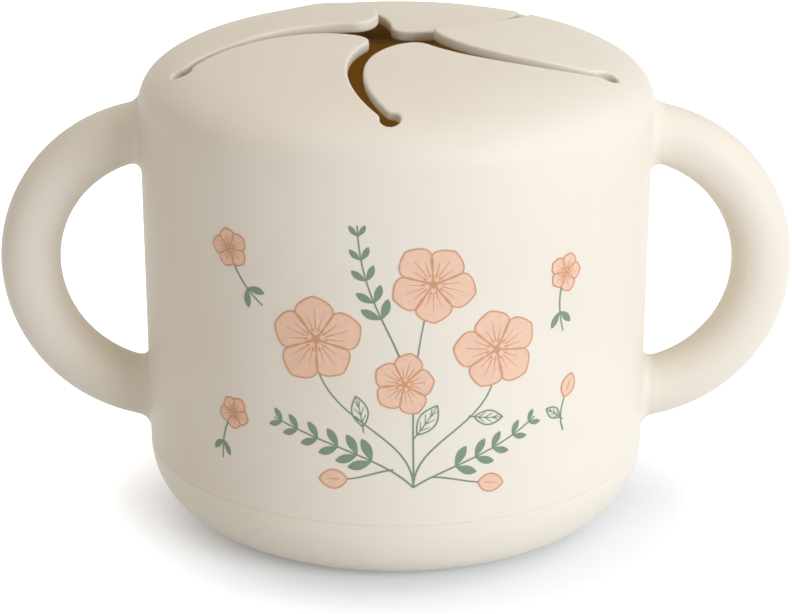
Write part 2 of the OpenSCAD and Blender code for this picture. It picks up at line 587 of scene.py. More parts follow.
SILICONE = MouldedFinish(
    name="cream_silicone",
    pale=srgb(236, 228, 213),
    deep=srgb(232, 223, 207),
    rough_low=0.5,
    rough_high=0.6,
    grain_depth=0.004 * MM,
    specular=0.45,
)
CUP_PLASTIC = MouldedFinish(
    name="cream_plastic",
    pale=srgb(236, 228, 212),
    deep=srgb(233, 224, 206),
    rough_low=0.4,
    rough_high=0.5,
    grain_depth=0.002 * MM,
    specular=0.5,
)
# Painted light on the snack space: the amber tint stands in for warm light bouncing in the shaded
# hollow, and the faint emission is a painted glow for the daylight that the pale walls let in.
CUP_INSIDE_PAINTED_GLOW = MouldedFinish(
    name="warm_plastic_inside",
    pale=srgb(246, 210, 144),
    deep=srgb(243, 205, 136),
    rough_low=0.4,
    rough_high=0.5,
    grain_depth=0.002 * MM,
    specular=0.5,
    through=(0.022, 0.015, 0.0015, 1.0),
)


# ---- Form ----


@dataclass(frozen=True)
class BodyForm:
    """Outer form that the cover and the foot share, in millimetres."""

    base_r: float = 45.0
    height: float = 88.3
    draft_deg: float = 0.54
    shoulder_h: float = 11.5
    crown_reach: float = 0.79
    shoulder_fullness: float = 0.56
    seam_h: float = 13.4
    table_steps: int = 4000

    @property
    def wall_top_z(self) -> float:
        """Height at which the wall ends and the shoulder begins."""
        return self.height - self.shoulder_h

    def wall_r(self, z: Points | float) -> Points | float:
        """Radius of the drafted wall at a height."""
        return self.base_r + z * math.tan(math.radians(self.draft_deg))

    def crown(self, t: Points) -> Points:
        """Crown curve from the axis (0) to the top of the wall (1).

        Args:
            t: Shares of the way.

        Returns:
            Rows of radius and height.
        """
        edge = self.wall_r(self.wall_top_z)
        full = self.wall_top_z + self.shoulder_fullness * self.shoulder_h
        a, b = np.array([0, self.height]), np.array([self.crown_reach * edge, self.height])
        c, d = np.array([edge, full]), np.array([edge, self.wall_top_z])
        return bezier(a, b, c, d, t)

    def crown_t(self, r: Points) -> Points:
        """Share of the crown curve at which it has a radius."""
        t = np.linspace(0, 1, self.table_steps)
        return np.interp(r, self.crown(t)[:, 0], t)

    def crown_z(self, r: Points) -> Points:
        """Height of the crown at a radius."""
        return self.crown(self.crown_t(np.asarray(r, float)))[:, 1]

    def on_crown(self, plan: Points) -> Points:
        """Plan points lifted onto the crown.

        Args:
            plan: Array with x, y last.

        Returns:
            The same array with x, y, z last.
        """
        flat = plan.reshape(-1, 2)
        z = self.crown_z(np.linalg.norm(flat, axis=1))
        return np.column_stack([flat, z]).reshape(*plan.shape[:-1], 3)


@dataclass(frozen=True)
class SlitForm:
    """The slit whose round end lies on -Y, in millimetres. The others are turned copies."""

    ring_r: float = 38.924
    end_r: float = 1.75
    width_out: float = 1.5
    width_in: float = 3.4
    bow_out: float = 6.6
    bow_in: float = 8.8
    bow_out_at: float = 0.82
    bow_in_at: float = 0.45
    mouth_reach: float = 9.5
    mouth_deg: float = 20.3
    tip_round: float = 3.9
    step_deg: float = 72.0
    pattern_turn: float = -1.5
    fine: int = 400
    fine_step: float = 0.05
    arc_points: int = 60
    soften: int = 90
    soften_share: float = 0.25

    @property
    def hinge_r(self) -> float:
        """Distance from the axis to the straight line between two round ends."""
        return self.ring_r * math.cos(math.radians(self.step_deg / 2))

    def _handles(self) -> list[Points]:
        """Draws the slit's middle line.

        Returns:
            The four points of its cubic curve.
        """
        a = math.radians(self.mouth_deg)
        return [
            np.array([0, -self.ring_r]),
            np.array([-self.bow_out, -self.bow_out_at * self.ring_r]),
            np.array([-self.bow_in, -self.bow_in_at * self.ring_r]),
            self.mouth_reach * np.array([-math.sin(a), -math.cos(a)]),
        ]

    def heading(self, t: Points) -> Points:
        """Direction of the middle line.

        Args:
            t: Shares of its way.

        Returns:
            One row of unit length for each share.
        """
        a, b, c, d = self._handles()
        s = np.asarray(t, float)[:, None]
        way = (1 - s) ** 2 * (b - a) + 2 * s * (1 - s) * (c - b) + s**2 * (d - c)
        return way / np.linalg.norm(way, axis=1)[:, None]

    def edge(self, side: int) -> Points:
        """One edge of the slit, from beside the round end to the mouth.

        Args:
            side: 1 for the edge on the flap that bulges, -1 for the edge it nests in.

        Returns:
            Rows of x, y.
        """
        t = np.linspace(0, 1, self.fine)
        width = self.width_out + (self.width_in - self.width_out) * t
        way = self.heading(t)
        across = np.column_stack([way[:, 1], -way[:, 0]])
        return bezier(*self._handles(), t) + side * width[:, None] / 2 * across

    def flank(self, side: int) -> Points:
        """Edge of a flap from the ring of round ends, round the end, along the slit to the mouth.

        Args:
            side: 1 for the flap that bulges, -1 for the flap before it.

        Returns:
            Rows of x, y.
        """
        edge = self.edge(side)
        centre = np.array([0, -self.ring_r])
        away = edge[np.linalg.norm(edge - centre, axis=1) > self.end_r]
        meets = math.atan2(*(away[0] - centre)[::-1])
        angles = np.linspace(0 if side == 1 else math.pi, meets, self.arc_points)
        arc = centre + self.end_r * np.column_stack([np.cos(angles), np.sin(angles)])
        line = np.vstack([arc, away])
        line = resampled(line, np.arange(0, line_length(line), self.fine_step))
        for _ in range(self.soften):
            line[1:-1] += self.soften_share * (line[2:] + line[:-2] - 2 * line[1:-1])
        return line

    def flap_outline(self) -> tuple[Points, Points, Points]:
        """Outline of the flap between the slit on -Y and the next one.

        Returns:
            Left flank, tip and right flank, each from root to mouth or from left to right.
        """
        left, right = self.flank(1), turned(self.flank(-1), self.step_deg)
        way = self.heading(np.array([1.0]))
        left_way, right_way = way[0], turned(way, self.step_deg)[0]
        tip = bezier(
            left[-1],
            left[-1] + self.tip_round * left_way,
            right[-1] + self.tip_round * right_way,
            right[-1],
            np.linspace(0, 1, self.fine),
        )
        return left, tip, right


# ---- Cover: wall, shoulder, crown and flaps, modelled in one and then split by body ----


@dataclass(frozen=True)
class FlapRest:
    """How one soft flap hangs at rest.

    Lift is in degrees. Sideways and inward are the drift of its tip, in millimetres.
    """

    lift: float
    sideways: float = 0.0
    inward: float = 0.0


@dataclass
class CoverShell:
    """The soft cover without its handles. It is thickened in one, so that flap roots run on."""

    form: BodyForm
    slit: SlitForm
    silicone: bpy.types.Material
    wall: float = 2.0
    edge_round: float = 0.42
    lip_share: float = 0.1
    lip_lift: float = -0.1
    columns: int = 20
    round_columns: int = 12
    flap_rows: int = 32
    near_step: float = 0.6
    near_rows: int = 4
    spacing_power: float = 1.3
    fill_passes: int = 900
    fill_pull: float = 0.8
    crown_rows: int = 16
    crown_even: float = 0.75
    crown_power: float = 1.6
    wall_rows: int = 18
    band: float = 0.75
    round_span_deg: float = 22.0
    sharp_cos: float = 0.5
    lip_band: float = 2.0
    bend_run: float = 9.0
    hinge_z: float = 84.124
    drift_run: float = 26.0
    rests: dict[Flap, FlapRest] = field(
        default_factory=lambda: {
            Flap.FRONT_LEFT: FlapRest(0.7, -0.9, 0.3),
            Flap.FRONT_RIGHT: FlapRest(0.4, -0.3, -0.3),
            Flap.RIGHT: FlapRest(1.6, 0.4, -0.3),
            Flap.BACK: FlapRest(-2.6, 0.5, -0.2),
            Flap.LEFT: FlapRest(3.9, 0.0, 1.2),
        }
    )

    def _root_run(self) -> Points:
        """Places of a flap's columns on the ring arc between two round ends.

        Returns:
            Their angles from the first round end's middle.
        """
        gap = 2 * math.asin(self.slit.end_r / 2 / self.slit.ring_r)
        span = math.radians(self.slit.step_deg)
        first = gap + self.band / self.slit.ring_r
        inner = np.linspace(first, span - first, self.columns - 1)
        return np.concatenate([[gap], inner, [span - gap]])

    def _ring(self, angles: Points) -> Points:
        """Points of the ring through the round ends, at angles from -Y."""
        return self.slit.ring_r * np.column_stack([np.sin(angles), -np.cos(angles)])

    def _flank_spots(self, line: Points) -> Points:
        """Places of rows along a flank: close at both ends, wider between them.

        Args:
            line: Rows of the flank.

        Returns:
            Lengths from its start.
        """
        count, near = self.flap_rows - 1, self.near_rows
        share = np.clip((np.arange(count) - near) / (count - near - 1), 0, 1)
        bulge = np.sin(math.pi * share) ** self.spacing_power
        spare = line_length(line) - self.near_step * count
        steps = self.near_step + spare * bulge / bulge.sum()
        return np.concatenate([[0], np.cumsum(steps)])

    @staticmethod
    def _inset(line: Points, depth: float, side: float) -> Points:
        """Open line moved sideways.

        Args:
            line: Rows of x, y.
            depth: Distance to move.
            side: 1 to the left of the way, -1 to the right.

        Returns:
            The moved rows.
        """
        way = np.gradient(line, axis=0)
        way /= np.linalg.norm(way, axis=1)[:, None]
        return line + side * depth * np.column_stack([-way[:, 1], way[:, 0]])

    def flap_tables(self) -> tuple[Points, Points]:
        """Plan of the flap between the slit on -Y and the next one.

        Returns:
            A band of shape (2, n, 2) along its edge, and the field inside it, of shape
            (rows, columns, 2).
        """
        left, tip, right = self.slit.flap_outline()
        rows, columns = self.flap_rows, self.columns - 1
        root = self._ring(self._root_run())
        flanks = [resampled(line, self._flank_spots(line)) for line in (left, right)]
        flanks[0][0], flanks[1][0] = root[0], root[-1]
        top = resampled(tip, np.linspace(0, line_length(tip), columns))
        outer = np.vstack([flanks[0], top[1:-1], flanks[1][::-1]])
        inner = self._inset(outer, self.band, -1.0)
        inner[0], inner[-1] = root[1], root[-2]
        inside = np.zeros((rows, columns, 2))
        inside[:, 0], inside[:, -1] = inner[:rows], inner[-rows:][::-1]
        inside[-1] = inner[rows - 1 : rows - 1 + columns]
        inside[0] = root[1:-1]
        self._fill(inside)
        return np.stack([outer, inner]), inside

    def _fill(self, block: Points) -> None:
        """Fills a block of points from its four sides, and evens it out.

        Args:
            block: Points of shape (rows, columns, 2), whose sides are set.
        """
        rows, columns = block.shape[:2]
        v = np.linspace(0, 1, rows)[:, None, None]
        u = np.linspace(0, 1, columns)[None, :, None]
        sides = (1 - u) * block[:, :1] + u * block[:, -1:]
        ends = (1 - v) * block[:1] + v * block[-1:]
        corners = (1 - u) * ((1 - v) * block[0, 0] + v * block[-1, 0])
        corners = corners + u * ((1 - v) * block[0, -1] + v * block[-1, -1])
        filled = sides + ends - corners
        block[1:-1, 1:-1] = filled[1:-1, 1:-1]
        for _ in range(self.fill_passes):
            mid = block[1:-1, 1:-1]
            across = (block[1:-1, 2:] - block[1:-1, :-2]) / 2
            along = (block[2:, 1:-1] - block[:-2, 1:-1]) / 2
            wide = (along**2).sum(-1, keepdims=True)
            high = (across**2).sum(-1, keepdims=True)
            skew = (across * along).sum(-1, keepdims=True)
            twist = block[2:, 2:] - block[2:, :-2] - block[:-2, 2:] + block[:-2, :-2]
            sideways = wide * (block[1:-1, 2:] + block[1:-1, :-2])
            upwards = high * (block[2:, 1:-1] + block[:-2, 1:-1])
            target = (sideways + upwards - skew * twist / 2) / (2 * (wide + high))
            block[1:-1, 1:-1] = mid + self.fill_pull * (target - mid)

    def _rest_bend(self, points: Points, flap: Flap) -> Points:
        """Raises a flap to its rest angle by bending it past its root.

        Args:
            points: Points of the flap in the pattern's own place, of shape (n, 3).
            flap: Which flap it is.

        Returns:
            The bent points.
        """
        half = math.radians(self.slit.step_deg / 2)
        inward = np.array([-math.sin(half), math.cos(half)])
        right = np.array([math.cos(half), math.sin(half)])
        rest = self.rests[flap]
        run = points[:, :2] @ inward + self.slit.hinge_r
        far = np.clip(run / self.drift_run, 0, 1)[:, None] ** 2
        share = np.clip(run / self.bend_run, 0, 1)
        angle = math.radians(rest.lift) * share**2 * (3 - 2 * share)
        up = points[:, 2] - self.hinge_z
        new_run = run * np.cos(angle) - up * np.sin(angle)
        new_up = run * np.sin(angle) + up * np.cos(angle)
        bent = points.copy()
        bent[:, :2] += far * (rest.sideways * right + rest.inward * inward)
        bent[:, :2] += (new_run - run)[:, None] * inward
        bent[:, 2] = self.hinge_z + new_up
        return np.where((run > 0)[:, None], bent, points)

    def _turn_of(self, flap: Flap) -> float:
        """Turn of a flap from the pattern's own place, in degrees."""
        return self.slit.pattern_turn + (flap.value - 1) * self.slit.step_deg

    def _flap_sheet(self, flap: Flap, plan: Points) -> Obj:
        """Thin sheet of one part of a flap, in its place.

        Args:
            flap: Which flap it is.
            plan: Table of plan points.

        Returns:
            The new object.
        """
        points = self.form.on_crown(plan)
        shape = points.shape
        flat = self._rest_bend(points.reshape(-1, 3), flap)
        flat[:, :2] = turned(flat[:, :2], self._turn_of(flap))
        return grid_piece(flap.node, flat.reshape(shape))

    def _wall_columns(self) -> tuple[Points, Points]:
        """Inner boundary of the rim and the place of each of its columns on the wall.

        Returns:
            Plan points on the ring and round ends, and angles on the wall, both once round.
        """
        step = math.radians(self.slit.step_deg)
        span = math.radians(self.round_span_deg)
        half_turn = np.linspace(math.pi, 0, self.round_columns + 1)
        around = np.column_stack([np.cos(half_turn), -np.sin(half_turn)]) * self.slit.end_r
        plan, angles = [], []
        for k in range(len(Flap)):
            turn = math.degrees(step * k)
            round_end = around + np.array([0, -self.slit.ring_r])
            tilt = 2 * math.asin(self.slit.end_r / 2 / self.slit.ring_r)
            ends = self._ring(np.array([-tilt, tilt]))
            round_end[0], round_end[-1] = ends[0], ends[-1]
            root = self._ring(self._root_run())
            plan += [turned(round_end[:-1], turn), turned(root[:-1], turn)]
            angles += [
                step * k + np.linspace(-span / 2, span / 2, self.round_columns + 1)[:-1],
                step * k + np.linspace(span / 2, step - span / 2, self.columns + 1)[:-1],
            ]
        plan, angles = np.vstack(plan), np.concatenate(angles)
        return np.vstack([plan, plan[:1]]), np.append(angles, angles[0] + 2 * math.pi)

    def _rim_sheet(self) -> Obj:
        """Thin sheet of the crown's rim, the shoulder and the wall.

        Returns:
            The new object.
        """
        plan, angles = self._wall_columns()
        start_r = np.linalg.norm(plan, axis=1)
        start_a = np.unwrap(np.arctan2(plan[:, 0], -plan[:, 1]))
        start_t = self.form.crown_t(start_r)
        share = np.linspace(0, 1, self.crown_rows + 1)
        share = self.crown_even * share + (1 - self.crown_even) * share**self.crown_power
        angle = start_a + (angles - start_a) * share[:, None]
        t = start_t + (1 - start_t) * share[:, None]
        ring = self.form.crown(t.ravel()).reshape(*t.shape, 2)
        low = self.form.seam_h + self.lip_lift
        z = np.linspace(self.form.wall_top_z, low, self.wall_rows + 1)[1:]
        wall_z = np.repeat(z[:, None], len(angles), axis=1)
        radius = np.vstack([ring[..., 0], self.form.wall_r(wall_z)])
        height = np.vstack([ring[..., 1], wall_z])
        angle = np.vstack([angle, np.repeat(angles[None], len(z), axis=0)])
        angle = angle + math.radians(self.slit.pattern_turn)
        table = np.stack([radius * np.sin(angle), -radius * np.cos(angle), height], axis=-1)
        return grid_piece("cover_skin", table)

    @staticmethod
    def _tag(obj: Obj, tags: Sequence[bpy.types.Material], index: int) -> None:
        """Marks every face with an index that the modifiers keep.

        Args:
            obj: Sheet to mark.
            tags: Marks of all sheets.
            index: Mark of this sheet.
        """
        obj.data.materials.clear()
        for tag in tags:
            obj.data.materials.append(tag)
        faces = np.full(len(obj.data.polygons), index, np.int32)
        obj.data.polygons.foreach_set("material_index", faces)

    def _mark_edges(self, obj: Obj) -> None:
        """Sets how much each sharp edge is rounded: slit edges fully, the lower lip a little.

        Args:
            obj: The thickened shell.
        """
        mesh = obj.data
        beside: dict[tuple[int, int], list[int]] = {}
        for face in mesh.polygons:
            for key in face.edge_keys:
                beside.setdefault(key, []).append(face.index)
        normals = np.zeros(len(mesh.polygons) * 3, np.float32)
        mesh.polygons.foreach_get("normal", normals)
        normals = normals.reshape(-1, 3)
        points = get_points(obj)
        weights = np.zeros(len(mesh.edges), np.float32)
        for edge in mesh.edges:
            faces = beside.get(tuple(sorted(edge.vertices)), [])
            if len(faces) == 2 and float(normals[faces[0]] @ normals[faces[1]]) < self.sharp_cos:
                low = points[edge.vertices[0]][2] < self.form.seam_h + self.lip_band
                weights[edge.index] = self.lip_share if low else 1.0
        layer = mesh.attributes.new("bevel_weight_edge", "FLOAT", "EDGE")
        layer.data.foreach_set("value", weights)

    def build(self) -> dict[str, Obj]:
        """Makes the cover and its flaps.

        Returns:
            Pieces by name: cover_skin and one for each flap.
        """
        tags = [bpy.data.materials.new(f"mark_{k}") for k in range(len(Flap) + 1)]
        sheets = [self._rim_sheet()]
        self._tag(sheets[0], tags, 0)
        for flap in Flap:
            for plan in self.flap_tables():
                sheets.append(self._flap_sheet(flap, plan))
                self._tag(sheets[-1], tags, flap.value + 1)
        pick_only(*sheets)
        bpy.ops.object.join()
        shell = sheets[0]
        make_closed(shell, WELD, fill=False)
        crown_z = self.form.wall_top_z * MM
        if sum(f.normal.z for f in shell.data.polygons if f.center.z > crown_z) < 0:
            in_edit_mode(shell, lambda: bpy.ops.mesh.flip_normals())
        apply_modifier(
            shell, "SOLIDIFY", thickness=self.wall * MM, offset=-1.0, use_even_offset=True
        )
        self._mark_edges(shell)
        apply_modifier(
            shell,
            "BEVEL",
            width=self.edge_round * MM,
            segments=2,
            limit_method="WEIGHT",
            use_clamp_overlap=False,
        )
        apply_modifier(shell, "SUBSURF", levels=1, render_levels=1)
        pieces = self._split(shell)
        for tag in tags:
            bpy.data.materials.remove(tag)
        return pieces

    def _split(self, shell: Obj) -> dict[str, Obj]:
        """Splits the shell by its face marks and closes each cut.

        Args:
            shell: The finished shell.

        Returns:
            Pieces by name.
        """
        index_of = {slot.material.name: k for k, slot in enumerate(shell.material_slots)}
        before = set(bpy.data.objects)
        in_edit_mode(shell, lambda: bpy.ops.mesh.separate(type="MATERIAL"))
        parts = [shell, *(o for o in bpy.data.objects if o not in before)]
        pieces = {}
        for part in parts:
            used = part.material_slots[part.data.polygons[0].material_index].material.name
            index = index_of[used]
            name = "cover_skin" if index == 0 else f"{Flap(index - 1).node}_skin"
            pieces[name] = part
        for name, part in pieces.items():
            part.name = name
            make_closed(part)
            wear(part, self.silicone)
            smooth(part)
        return pieces

    def attach(self, pieces: dict[str, Obj]) -> None:
        """Lets the cover's skin ride on the cover body, and sets each flap's place into its own
        mesh, riding on no body.

        Args:
            pieces: Pieces by name.
        """
        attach(pieces["cover_skin"], Body.COVER.value)
        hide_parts("cover")
        for flap in Flap:
            piece = pieces[f"{flap.node}_skin"]
            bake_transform(piece)
            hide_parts(flap.node)
        for name, piece in pieces.items():
            LOG.info("%s: %d faces", name, len(piece.data.polygons))


# ---- Handles ----


@dataclass
class LoopHandle:
    """One loop handle: a round grip bent in a ring, running into the wall by a fillet."""

    form: BodyForm
    silicone: bpy.types.Material
    side: int
    ring_r: float = 24.8
    grip_r: float = 5.4
    inset: float = 4.0
    height: float = 45.9
    fillet: float = 2.2
    sink: float = 0.06
    depth: float = 1.0
    around: int = 56
    fillet_steps: int = 10
    grip_steps: int = 84
    search_to: float = 2.2
    halvings: int = 40

    @property
    def name(self) -> str:
        """Name of the handle's CAD node."""
        return "handle_right" if self.side > 0 else "handle_left"

    def _grip(self, theta: Points, phi: Points) -> Points:
        """Points of the grip.

        Args:
            theta: Angle along the ring, 0 at its outermost place and positive upwards.
            phi: Angle round the grip, 0 on the ring's outer side.

        Returns:
            Array with x, y, z last.
        """
        reach = self.ring_r + self.grip_r * np.cos(phi)
        x = self.form.wall_r(self.height) - self.inset + reach * np.cos(theta)
        y = self.grip_r * np.sin(phi) + 0 * x
        return np.stack([x, y, self.height + reach * np.sin(theta)], axis=-1)

    def _above_wall(self, points: Points) -> Points:
        """Distance of points from the wall."""
        return np.hypot(points[..., 0], points[..., 1]) - self.form.wall_r(points[..., 2])

    def _theta_at(self, height: Points, phi: Points, up: int) -> Points:
        """Angle along the ring at which the grip's side is a height above the wall.

        Args:
            height: Heights above the wall.
            phi: Angles round the grip.
            up: 1 for the upper root, -1 for the lower one.

        Returns:
            The angles.
        """
        low, high = np.zeros_like(phi), np.full_like(phi, self.search_to)
        for _ in range(self.halvings):
            middle = (low + high) / 2
            outside = self._above_wall(self._grip(up * middle, phi)) > height
            low, high = np.where(outside, middle, low), np.where(outside, high, middle)
        return up * (low + high) / 2

    def _on_wall(self, y: Points, z: Points, height: Points | float) -> Points:
        """Points a height above the wall.

        Args:
            y: Places across the wall.
            z: Places up the wall.
            height: Heights above it.

        Returns:
            Rows of x, y, z.
        """
        r = self.form.wall_r(z)
        x = np.sqrt(r**2 - y**2)
        return np.stack([x + height * x / r, y + height * y / r, z], axis=-1)

    def _root_rings(self, phi: Points, up: int) -> Points:
        """Rings of one root, from inside the wall out to the end of the fillet.

        Args:
            phi: Angles round the grip.
            up: 1 for the upper root, -1 for the lower one.

        Returns:
            Points of shape (rings, columns, 3).
        """
        middle_z = self.height + up * math.sqrt(self.ring_r**2 - (self.inset - self.fillet) ** 2)
        rings = []
        for a in np.linspace(0, math.pi / 2, self.fillet_steps):
            height = np.full_like(phi, self.fillet * (1 - math.cos(a)))
            spread = self.fillet * (1 - math.sin(a))
            side = self._grip(self._theta_at(height, phi, up), phi)
            away = np.stack([side[:, 1], side[:, 2] - middle_z], axis=-1)
            away /= np.linalg.norm(away, axis=1)[:, None]
            y, z = side[:, 1] + spread * away[:, 0], side[:, 2] + spread * away[:, 1]
            rings.append(self._on_wall(y, z, height - (self.sink if a == 0 else 0)))
        buried = self._on_wall(y=rings[0][:, 1], z=rings[0][:, 2], height=-self.depth)
        return np.stack([buried, *rings])

    def build(self) -> Obj:
        """Makes the handle.

        Returns:
            The new piece.
        """
        phi = np.linspace(0, 2 * math.pi, self.around + 1)
        level = np.full_like(phi, self.fillet)
        top, bottom = self._theta_at(level, phi, 1), self._theta_at(level, phi, -1)
        share = np.linspace(0, 1, self.grip_steps)[1:-1, None]
        grip = self._grip(top + (bottom - top) * share, phi[None])
        upper, lower = self._root_rings(phi, 1), self._root_rings(phi, -1)
        table = np.concatenate([upper, grip, lower[::-1]])
        table[..., 0] *= self.side
        handle = grid_piece(f"{self.name}_loop", table)
        make_closed(handle, WELD)
        wear(handle, self.silicone)
        smooth(handle, degrees=60)
        return handle

    def attach(self, handle: Obj) -> None:
        """Lets the handle ride on the cover.

        Args:
            handle: The finished handle.
        """
        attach(handle, Body.COVER.value)
        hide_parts(self.name)
        LOG.info("%s: %d faces", handle.name, len(handle.data.polygons))


# ---- Cup ----


@dataclass
class SnackCup:
    """The rigid cup with its rounded foot, turned from one profile."""

    form: BodyForm
    plastic: bpy.types.Material
    # The snack space's finish: painted light, amber for warm bounce light in its shade, with a
    # faint painted glow.
    inside: bpy.types.Material
    out_r: float = 42.626
    wall: float = 1.6
    floor_t: float = 2.4
    foot_hollow: float = 0.8
    foot_ring_w: float = 6.0
    inner_round: float = 9.0
    rim_z: float = 76.2
    seam_gap: float = 0.015
    lip_lift: float = -0.1
    edge_round: float = 0.05
    foot_end_deg: float = 358.0
    level_cos: float = 0.5
    steps: int = 180
    arc_step_deg: float = 4.0
    arc_least: int = 6

    def _arc(self, centre: Spot, radius: float, start: float, end: float) -> Points:
        """Arc in the profile's plane.

        Args:
            centre: Radius and height of its centre.
            radius: Radius of the arc.
            start: First angle in degrees, 0 outwards and 90 up.
            end: Last angle in degrees.

        Returns:
            Rows of radius and height.
        """
        count = max(self.arc_least, int(abs(end - start) / self.arc_step_deg))
        a = np.radians(np.linspace(start, end, count))
        return np.array(centre) + radius * np.column_stack([np.cos(a), np.sin(a)])

    def profile(self) -> Points:
        """Section of the cup from the middle of its underside round to the middle of its floor.

        Returns:
            Rows of radius and height.
        """
        ledge = self.form.seam_h + self.lip_lift - self.seam_gap
        foot_r = self.form.wall_r(ledge)
        stand_r = foot_r - ledge
        hollow_r = stand_r - self.foot_ring_w
        top_in = self.out_r - self.wall
        floor_z = self.foot_hollow + self.floor_t
        in_r = top_in - (self.rim_z - floor_z) * math.tan(math.radians(self.form.draft_deg))
        e, half, inner = self.edge_round, self.wall / 2, self.inner_round
        arcs = (
            ((hollow_r - e * 2, self.foot_hollow - e * 2), e * 2, 90, 0),
            ((hollow_r + e, e), e, 180, 270),
            ((stand_r, ledge), ledge, 270, self.foot_end_deg),
            ((foot_r - e, ledge - e), e, 0, 90),
            ((self.out_r + e, ledge + e), e, 270, 180),
            ((self.out_r - half, self.rim_z - half), half, 0, 180),
            ((in_r - inner, floor_z + inner), inner, 0, -90),
        )
        line = [self._arc(*arc) for arc in arcs]
        return np.vstack([[[0, self.foot_hollow]], *line, [[0, floor_z]]])

    def build(self) -> Obj:
        """Makes the cup by spinning its profile.

        Returns:
            The new piece.
        """
        profile = self.profile()
        bpy.ops.object.select_all(action="DESELECT")
        bpy.ops.mesh.primitive_circle_add(vertices=len(profile), radius=1, fill_type="NOTHING")
        cup = bpy.context.active_object
        cup.name = "cup_shell"
        set_points(cup, np.column_stack([profile[:, 0], np.zeros(len(profile)), profile[:, 1]]))
        on_axis = {0, len(profile) - 1}

        def work() -> None:
            """Opens the profile on the axis and spins it."""
            bpy.ops.mesh.select_all(action="DESELECT")
            bpy.ops.object.mode_set(mode="OBJECT")
            for edge in cup.data.edges:
                edge.select = set(edge.vertices) == on_axis
            bpy.ops.object.mode_set(mode="EDIT")
            bpy.ops.mesh.select_mode(type="EDGE")
            bpy.ops.mesh.delete(type="EDGE")
            bpy.ops.mesh.select_mode(type="VERT")
            bpy.ops.mesh.select_all(action="SELECT")
            bpy.ops.mesh.spin(
                steps=self.steps, angle=2 * math.pi, center=(0, 0, 0), axis=(0, 0, 1)
            )

        in_edit_mode(cup, work)
        make_closed(cup, WELD, fill=False)
        wear(cup, self.plastic)
        self._dress_inside(cup)
        smooth(cup, degrees=50)
        return cup

    def _dress_inside(self, cup: Obj) -> None:
        """Gives the snack space's surface its painted light: the amber, faintly glowing finish
        that stands in for warm bounce light in its shade.

        Args:
            cup: The finished cup.
        """
        cup.data.materials.append(self.inside)
        # Faces that look towards the axis or up from the floor, between the foot and the rim, take
        # the painted glow.
        for face in cup.data.polygons:
            place = face.center / MM
            radius = place.xy.length
            towards_axis = face.normal.xy.dot(place.xy) < 0
            on_floor = face.normal.z > self.level_cos and radius < self.out_r - self.wall
            within = 2 * self.foot_hollow < place.z < self.rim_z - self.wall
            if within and (towards_axis or on_floor):
                face.material_index = 1

    def attach(self, cup: Obj) -> None:
        """Lets the cup ride on its own body.

        Args:
            cup: The finished cup.
        """
        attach(cup, Body.CUP.value)
        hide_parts("inner_cup")
        LOG.info("%s: %d faces", cup.name, len(cup.data.polygons))


# ---- Print: a made-up bunch of five-petal blossoms, buds and leaf sprigs ----


class Ink(Enum):
    """Inks of the print."""

    LEAF = InkFinish("leaf_ink", srgb(124, 146, 120))
    PETAL = InkFinish("petal_ink", srgb(240, 199, 173))
    LINE = InkFinish("line_ink", srgb(212, 156, 116))


def headings(degrees: float) -> tuple[Points, Points]:
    """Unit steps along a heading and to its left.

    Args:
        degrees: The heading, 0 to the right and 90 up.

    Returns:
        Both steps.
    """
    a = math.radians(degrees)
    return np.array([math.cos(a), math.sin(a)]), np.array([-math.sin(a), math.cos(a)])


@dataclass(frozen=True)
class Blade:
    """Pointed or round shape along a curve: a petal, a leaf, a bud or a dot.

    Places are arc length from the middle of the front, and height, in millimetres.
    """

    start: Spot
    heading: float
    length: float
    half: float
    curl: float = 0.0
    fullness: float = 1.25
    blunt: float = 0.75
    tip_notch: float = 0.0
    notch_power: int = 6
    fine: int = 200

    def axis(self, u: Points) -> Points:
        """Points of the middle line.

        Args:
            u: Shares of its way.

        Returns:
            One row for each share.
        """
        way, side = headings(self.heading)
        u = np.asarray(u, float)[:, None]
        return np.array(self.start) + self.length * u * way + self.curl * u**2 * side

    def table(self, rows: int, columns: int) -> Points:
        """Points over the whole shape.

        Args:
            rows: Number of rows, from its start to its tip.
            columns: Number of columns, from side to side.

        Returns:
            Array of shape (rows, columns, 2).
        """
        u = (1 - np.cos(np.linspace(0, math.pi, rows))) / 2
        v = np.linspace(-1, 1, columns)
        fine = np.linspace(0, 1, self.fine)
        way = np.gradient(self.axis(fine), axis=0)
        way = np.stack([np.interp(u, fine, way[:, k]) for k in (0, 1)], axis=1)
        way /= np.linalg.norm(way, axis=1)[:, None]
        side = np.column_stack([-way[:, 1], way[:, 0]])
        half = self.half * np.sin(math.pi * u**self.fullness) ** self.blunt
        half[[0, -1]] = 0
        notch = self.tip_notch * (u**self.notch_power)[:, None] * (1 - v[None] ** 2)
        spots = self.axis(u)[:, None] + half[:, None, None] * v[None, :, None] * side[:, None]
        return spots - notch[..., None] * way[:, None]

    def rim(self, count: int) -> Points:
        """Closed line round the shape.

        Args:
            count: Number of points on each side.

        Returns:
            Rows of arc length and height.
        """
        table = self.table(count, 3)
        return np.vstack([table[:, 0], table[::-1, 2]])


